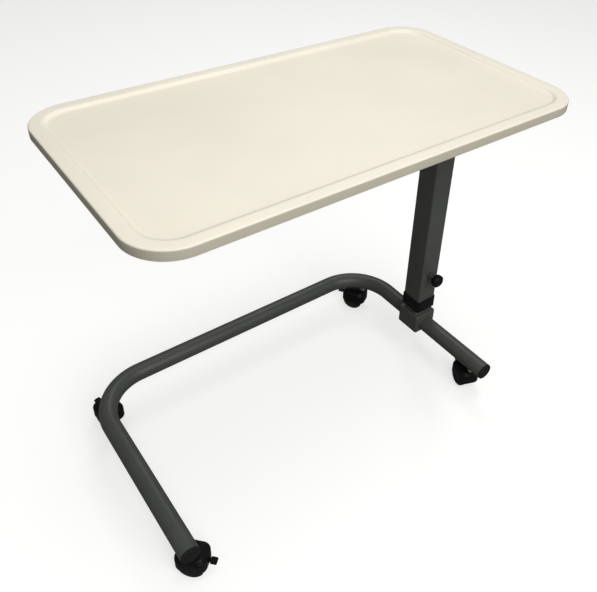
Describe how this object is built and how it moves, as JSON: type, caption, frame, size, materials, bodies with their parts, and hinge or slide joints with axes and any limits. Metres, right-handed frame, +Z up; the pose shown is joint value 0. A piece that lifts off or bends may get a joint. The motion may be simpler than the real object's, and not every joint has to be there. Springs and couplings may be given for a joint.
{
  "type": "overbed table",
  "caption": "Overbed table: rimmed rectangular top cantilevered on a telescopic square mast with a clamp knob, on a U-shaped tube base with braked twin-wheel casters.",
  "frame": {"origin": "on the floor, under the middle of the table's whole box, at its lowest height", "axes": "+Z up, +X along the long side of the top towards the mast, +Y to the closed back of the U-shaped base"},
  "size_m": [0.8678, 0.4884, 0.737],
  "materials": {
    "cream_board": "cream foil-wrapped board, satin",
    "grey_powder_coat": "graphite grey powder coat, satin",
    "chromed_post": "bright chrome",
    "zinc_steel": "zinc-plated steel",
    "black_plastic": "moulded black plastic, fine grain",
    "black_wheel": "black nylon wheel, satin"
  },
  "bodies": {
    "base": {"base_tube": "grey_powder_coat", "end_cap_left": "black_plastic", "end_cap_right": "black_plastic", "mast_block": "grey_powder_coat", "inner_post": "chromed_post", "post_plug": "zinc_steel", "post_bolt": "zinc_steel", "upper_glide": "black_plastic", "caster_stem_front_left": "zinc_steel", "caster_stem_front_right": "zinc_steel", "caster_stem_rear_right": "zinc_steel", "caster_stem_rear_left": "zinc_steel", "stem_nut_front_left": "zinc_steel", "stem_nut_front_right": "zinc_steel", "stem_nut_rear_right": "zinc_steel", "stem_nut_rear_left": "zinc_steel"},
    "mast": {"table_top": "cream_board", "head_plate": "grey_powder_coat", "support_rail_front": "grey_powder_coat", "support_rail_back": "grey_powder_coat", "outer_mast_tube": "grey_powder_coat", "lower_collar": "black_plastic", "clamp_boss": "grey_powder_coat", "head_bolt_1": "zinc_steel", "head_bolt_2": "zinc_steel", "head_bolt_3": "zinc_steel", "head_bolt_4": "zinc_steel", "top_screw_1": "zinc_steel", "top_screw_2": "zinc_steel", "top_screw_3": "zinc_steel", "top_screw_4": "zinc_steel", "top_screw_5": "zinc_steel", "top_screw_6": "zinc_steel"},
    "clamp_pad": {"clamp_pad": "black_plastic"},
    "clamp_knob": {"knob": "black_plastic", "clamp_screw": "zinc_steel"},
    "swivel_front_left": {"caster_hood_front_left": "black_plastic", "caster_axle_front_left": "zinc_steel", "brake_pin_front_left": "zinc_steel"},
    "wheel_front_left_left": {"wheel_front_left_left": "black_wheel"},
    "wheel_front_left_right": {"wheel_front_left_right": "black_wheel"},
    "brake_front_left": {"brake_lever_front_left": "black_plastic"},
    "swivel_front_right": {"caster_hood_front_right": "black_plastic", "caster_axle_front_right": "zinc_steel", "brake_pin_front_right": "zinc_steel"},
    "wheel_front_right_left": {"wheel_front_right_left": "black_wheel"},
    "wheel_front_right_right": {"wheel_front_right_right": "black_wheel"},
    "brake_front_right": {"brake_lever_front_right": "black_plastic"},
    "swivel_rear_right": {"caster_hood_rear_right": "black_plastic", "caster_axle_rear_right": "zinc_steel", "brake_pin_rear_right": "zinc_steel"},
    "wheel_rear_right_left": {"wheel_rear_right_left": "black_wheel"},
    "wheel_rear_right_right": {"wheel_rear_right_right": "black_wheel"},
    "brake_rear_right": {"brake_lever_rear_right": "black_plastic"},
    "swivel_rear_left": {"caster_hood_rear_left": "black_plastic", "caster_axle_rear_left": "zinc_steel", "brake_pin_rear_left": "zinc_steel"},
    "wheel_rear_left_left": {"wheel_rear_left_left": "black_wheel"},
    "wheel_rear_left_right": {"wheel_rear_left_right": "black_wheel"},
    "brake_rear_left": {"brake_lever_rear_left": "black_plastic"}
  },
  "joints": [
    {"name": "mast_lift", "type": "slide", "parent": "base", "child": "mast", "axis": [0, 0, 1], "range_m": [0, 0.36]},
    {"name": "clamp_travel", "type": "slide", "parent": "mast", "child": "clamp_pad", "axis": [0, -1, 0], "range_m": [0, 0.00125]},
    {"name": "knob_turn", "type": "hinge", "parent": "clamp_pad", "child": "clamp_knob", "pos_m": [0.32859, -0.02549, 0.229], "axis": [0, -1, 0], "range_deg": [0, 360]},
    {"name": "swivel_front_left", "type": "hinge", "parent": "base", "child": "swivel_front_left", "pos_m": [-0.41431, -0.19149, 0.06], "axis": [0, 0, 1], "continuous": true},
    {"name": "spin_front_left_left", "type": "hinge", "parent": "swivel_front_left", "child": "wheel_front_left_left", "pos_m": [-0.40093, -0.20635, 0.025], "axis": [0.7431, 0.6691, 0], "continuous": true},
    {"name": "spin_front_left_right", "type": "hinge", "parent": "swivel_front_left", "child": "wheel_front_left_right", "pos_m": [-0.40093, -0.20635, 0.025], "axis": [0.7431, 0.6691, 0], "continuous": true},
    {"name": "brake_front_left", "type": "hinge", "parent": "swivel_front_left", "child": "brake_front_left", "pos_m": [-0.38554, -0.22345, 0.035], "axis": [0.7431, 0.6691, 0], "range_deg": [0, 14]},
    {"name": "swivel_front_right", "type": "hinge", "parent": "base", "child": "swivel_front_right", "pos_m": [0.32759, -0.19149, 0.06], "axis": [0, 0, 1], "continuous": true},
    {"name": "spin_front_right_left", "type": "hinge", "parent": "swivel_front_right", "child": "wheel_front_right_left", "pos_m": [0.33443, -0.1727, 0.025], "axis": [-0.9397, 0.342, 0], "continuous": true},
    {"name": "spin_front_right_right", "type": "hinge", "parent": "swivel_front_right", "child": "wheel_front_right_right", "pos_m": [0.33443, -0.1727, 0.025], "axis": [-0.9397, 0.342, 0], "continuous": true},
    {"name": "brake_front_right", "type": "hinge", "parent": "swivel_front_right", "child": "brake_front_right", "pos_m": [0.3423, -0.15108, 0.035], "axis": [-0.9397, 0.342, 0], "range_deg": [0, 14]},
    {"name": "swivel_rear_right", "type": "hinge", "parent": "base", "child": "swivel_rear_right", "pos_m": [0.30232, 0.17863, 0.06], "axis": [0, 0, 1], "continuous": true},
    {"name": "spin_rear_right_left", "type": "hinge", "parent": "swivel_rear_right", "child": "wheel_rear_right_left", "pos_m": [0.29232, 0.19595, 0.025], "axis": [-0.866, -0.5, 0], "continuous": true},
    {"name": "spin_rear_right_right", "type": "hinge", "parent": "swivel_rear_right", "child": "wheel_rear_right_right", "pos_m": [0.29232, 0.19595, 0.025], "axis": [-0.866, -0.5, 0], "continuous": true},
    {"name": "brake_rear_right", "type": "hinge", "parent": "swivel_rear_right", "child": "brake_rear_right", "pos_m": [0.28082, 0.21587, 0.035], "axis": [-0.866, -0.5, 0], "range_deg": [0, 14]},
    {"name": "swivel_rear_left", "type": "hinge", "parent": "base", "child": "swivel_rear_left", "pos_m": [-0.38904, 0.17863, 0.06], "axis": [0, 0, 1], "continuous": true},
    {"name": "spin_rear_left_left", "type": "hinge", "parent": "swivel_rear_left", "child": "wheel_rear_left_left", "pos_m": [-0.3932, 0.19819, 0.025], "axis": [-0.9781, -0.2079, 0], "continuous": true},
    {"name": "spin_rear_left_right", "type": "hinge", "parent": "swivel_rear_left", "child": "wheel_rear_left_right", "pos_m": [-0.3932, 0.19819, 0.025], "axis": [-0.9781, -0.2079, 0], "continuous": true},
    {"name": "brake_rear_left", "type": "hinge", "parent": "swivel_rear_left", "child": "brake_rear_left", "pos_m": [-0.39798, 0.22069, 0.035], "axis": [-0.9781, -0.2079, 0], "range_deg": [0, 14]}
  ],
  "couplings": [
    {"joint": "knob_turn", "follows": "clamp_travel", "rad_per_m": 5026.5}
  ]
}
